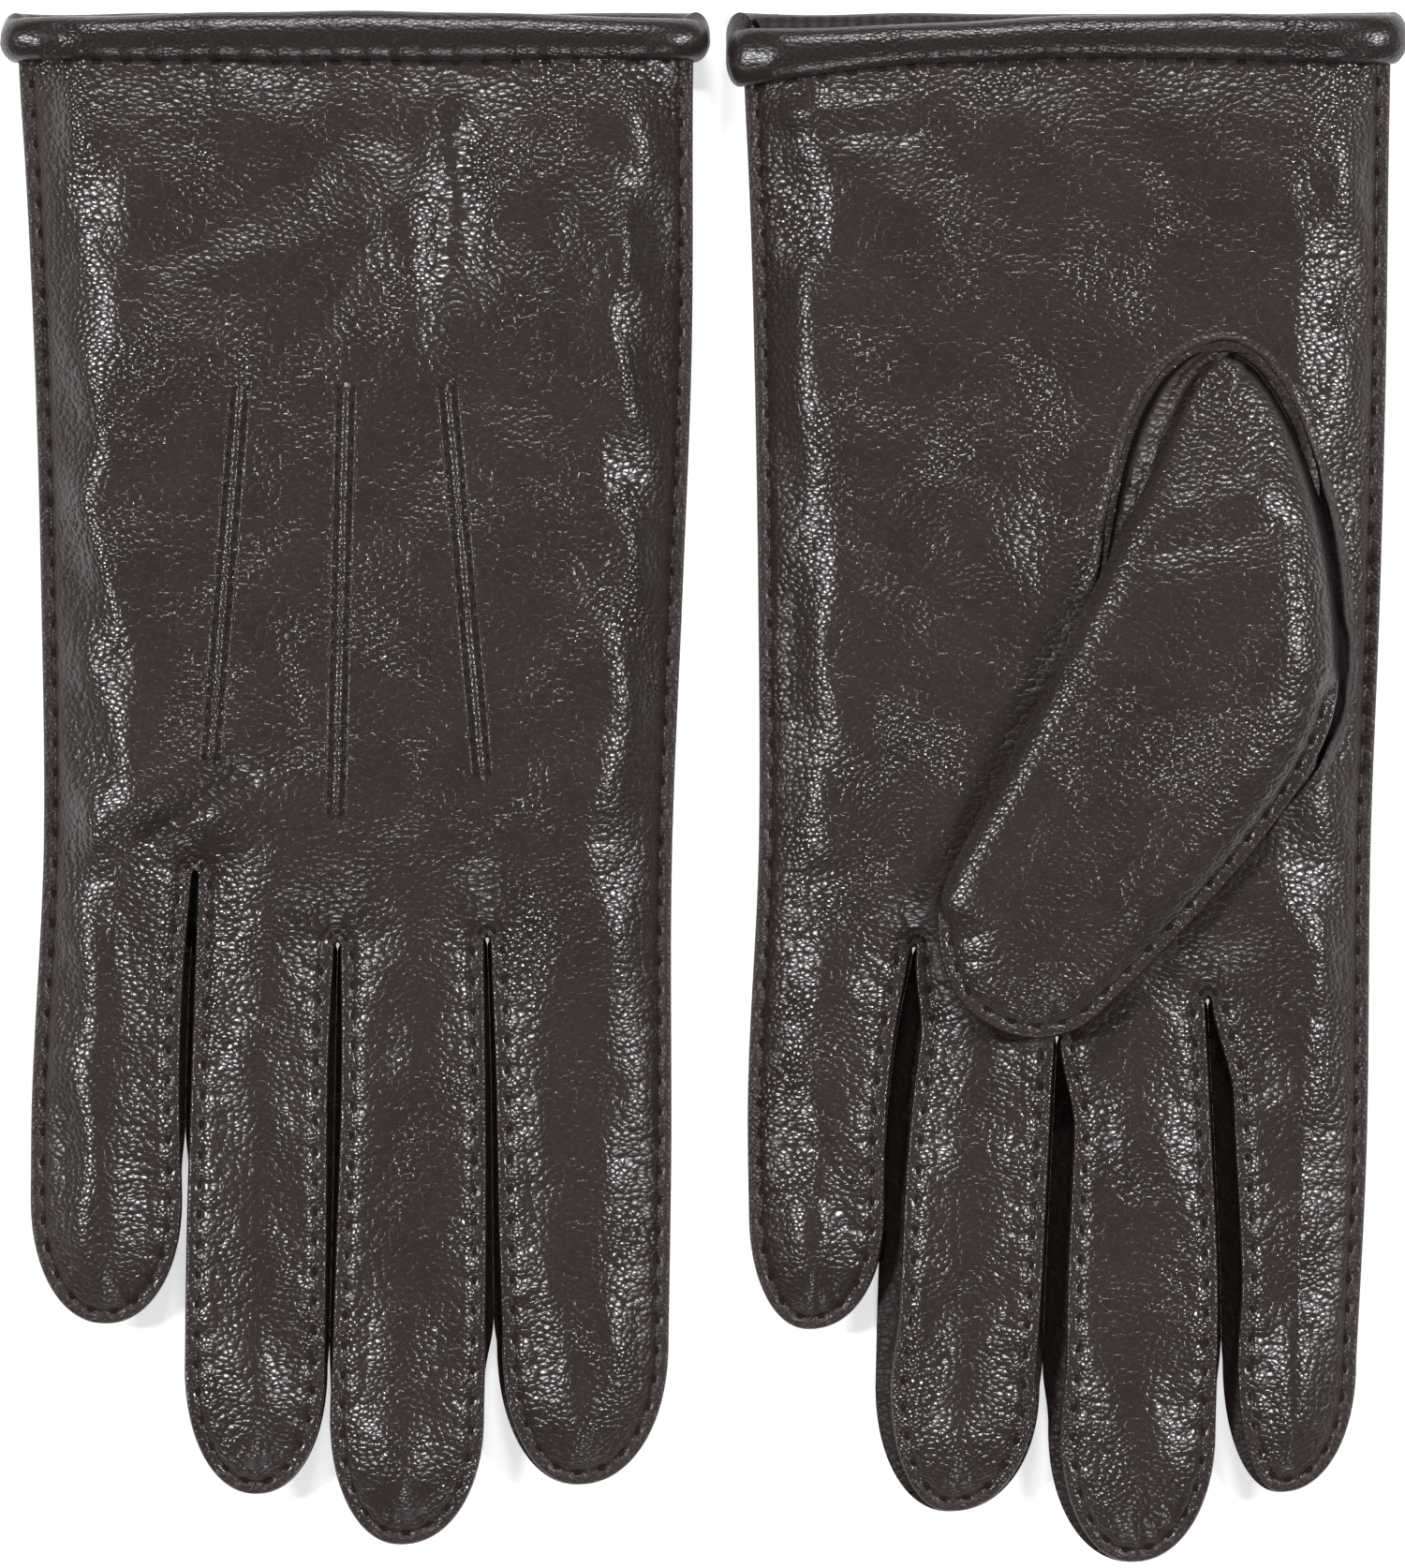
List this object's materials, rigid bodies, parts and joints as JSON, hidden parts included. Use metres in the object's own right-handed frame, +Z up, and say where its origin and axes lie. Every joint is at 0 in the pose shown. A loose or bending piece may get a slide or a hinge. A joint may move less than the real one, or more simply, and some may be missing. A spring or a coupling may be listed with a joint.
{
  "type": "pair of leather gloves",
  "caption": "Pair of lined leather dress gloves lying flat, one palm down and one palm up, with bending fingers, swinging thumbs and open cuffs.",
  "frame": {"origin": "on the table, at the middle of the pair's bounding box", "axes": "+Z up from the table, +Y towards the cuffs, -Y towards the fingertips, right glove at -X and left glove at +X"},
  "size_m": [0.223, 0.2484, 0.0227],
  "materials": {
    "glove_leather": "dark brown grained nappa, semi-gloss",
    "binding_leather": "dark brown grained nappa, rolled",
    "lining_knit": "fine black-brown wool knit",
    "sewing_thread": "brown sewing thread"
  },
  "bodies": {
    "left_glove": {"left_back_panel": "glove_leather", "left_palm_panel": "glove_leather", "left_hand_lining": "lining_knit", "left_fork_webs": "glove_leather", "left_back_points": "glove_leather", "left_thumb_gusset": "glove_leather", "left_thumb_collar": "glove_leather", "left_cuff_binding": "binding_leather", "left_cuff_thread": "sewing_thread"},
    "left_little": {"left_little_back": "glove_leather", "left_little_palm": "glove_leather", "left_little_lining": "lining_knit", "left_little_fork_strip": "glove_leather"},
    "left_ring": {"left_ring_back": "glove_leather", "left_ring_palm": "glove_leather", "left_ring_lining": "lining_knit", "left_ring_fork_strip_little_side": "glove_leather", "left_ring_fork_strip_index_side": "glove_leather"},
    "left_middle": {"left_middle_back": "glove_leather", "left_middle_palm": "glove_leather", "left_middle_lining": "lining_knit", "left_middle_fork_strip_little_side": "glove_leather", "left_middle_fork_strip_index_side": "glove_leather"},
    "left_index": {"left_index_back": "glove_leather", "left_index_palm": "glove_leather", "left_index_lining": "lining_knit", "left_index_fork_strip": "glove_leather"},
    "left_thumb": {"left_thumb_outer": "glove_leather", "left_thumb_under": "glove_leather", "left_thumb_lining": "lining_knit"},
    "right_glove": {"right_back_panel": "glove_leather", "right_palm_panel": "glove_leather", "right_hand_lining": "lining_knit", "right_fork_webs": "glove_leather", "right_back_points": "glove_leather", "right_thumb_gusset": "glove_leather", "right_thumb_collar": "glove_leather", "right_cuff_binding": "binding_leather", "right_cuff_thread": "sewing_thread"},
    "right_little": {"right_little_back": "glove_leather", "right_little_palm": "glove_leather", "right_little_lining": "lining_knit", "right_little_fork_strip": "glove_leather"},
    "right_ring": {"right_ring_back": "glove_leather", "right_ring_palm": "glove_leather", "right_ring_lining": "lining_knit", "right_ring_fork_strip_little_side": "glove_leather", "right_ring_fork_strip_index_side": "glove_leather"},
    "right_middle": {"right_middle_back": "glove_leather", "right_middle_palm": "glove_leather", "right_middle_lining": "lining_knit", "right_middle_fork_strip_little_side": "glove_leather", "right_middle_fork_strip_index_side": "glove_leather"},
    "right_index": {"right_index_back": "glove_leather", "right_index_palm": "glove_leather", "right_index_lining": "lining_knit", "right_index_fork_strip": "glove_leather"},
    "right_thumb": {"right_thumb_outer": "glove_leather", "right_thumb_under": "glove_leather", "right_thumb_lining": "lining_knit"}
  },
  "joints": [
    {"name": "right_glove_lift", "type": "slide", "parent": "left_glove", "child": "right_glove", "axis": [0, 0, 1], "range_m": [0, 0.12]},
    {"name": "left_little_bend", "type": "hinge", "parent": "left_glove", "child": "left_little", "pos_m": [0.0205, -0.03, 0.012], "axis": [-1, 0, 0], "range_deg": [-15, 85]},
    {"name": "left_ring_bend", "type": "hinge", "parent": "left_glove", "child": "left_ring", "pos_m": [0.0454, -0.042, 0.012], "axis": [-1, 0, 0], "range_deg": [-15, 85]},
    {"name": "left_middle_bend", "type": "hinge", "parent": "left_glove", "child": "left_middle", "pos_m": [0.0689, -0.042, 0.012], "axis": [-1, 0, 0], "range_deg": [-15, 85]},
    {"name": "left_index_bend", "type": "hinge", "parent": "left_glove", "child": "left_index", "pos_m": [0.094, -0.038, 0.012], "axis": [-1, 0, 0], "range_deg": [-15, 85]},
    {"name": "right_little_bend", "type": "hinge", "parent": "right_glove", "child": "right_little", "pos_m": [-0.0946, -0.034, 0], "axis": [1, 0, 0], "range_deg": [-15, 85]},
    {"name": "right_ring_bend", "type": "hinge", "parent": "right_glove", "child": "right_ring", "pos_m": [-0.0707, -0.034, 0], "axis": [1, 0, 0], "range_deg": [-15, 85]},
    {"name": "right_middle_bend", "type": "hinge", "parent": "right_glove", "child": "right_middle", "pos_m": [-0.0468, -0.034, 0], "axis": [1, 0, 0], "range_deg": [-15, 85]},
    {"name": "right_index_bend", "type": "hinge", "parent": "right_glove", "child": "right_index", "pos_m": [-0.0197, -0.034, 0], "axis": [1, 0, 0], "range_deg": [-15, 85]},
    {"name": "left_thumb_swing", "type": "hinge", "parent": "left_glove", "child": "left_thumb", "pos_m": [0.10123, 0.03404, 0.0137], "axis": [-0.0587, 0.9983, 0], "range_deg": [0, 90]},
    {"name": "right_thumb_swing", "type": "hinge", "parent": "right_glove", "child": "right_thumb", "pos_m": [-0.01227, 0.03404, 0], "axis": [0.0587, -0.9983, 0], "range_deg": [0, 90]}
  ]
}
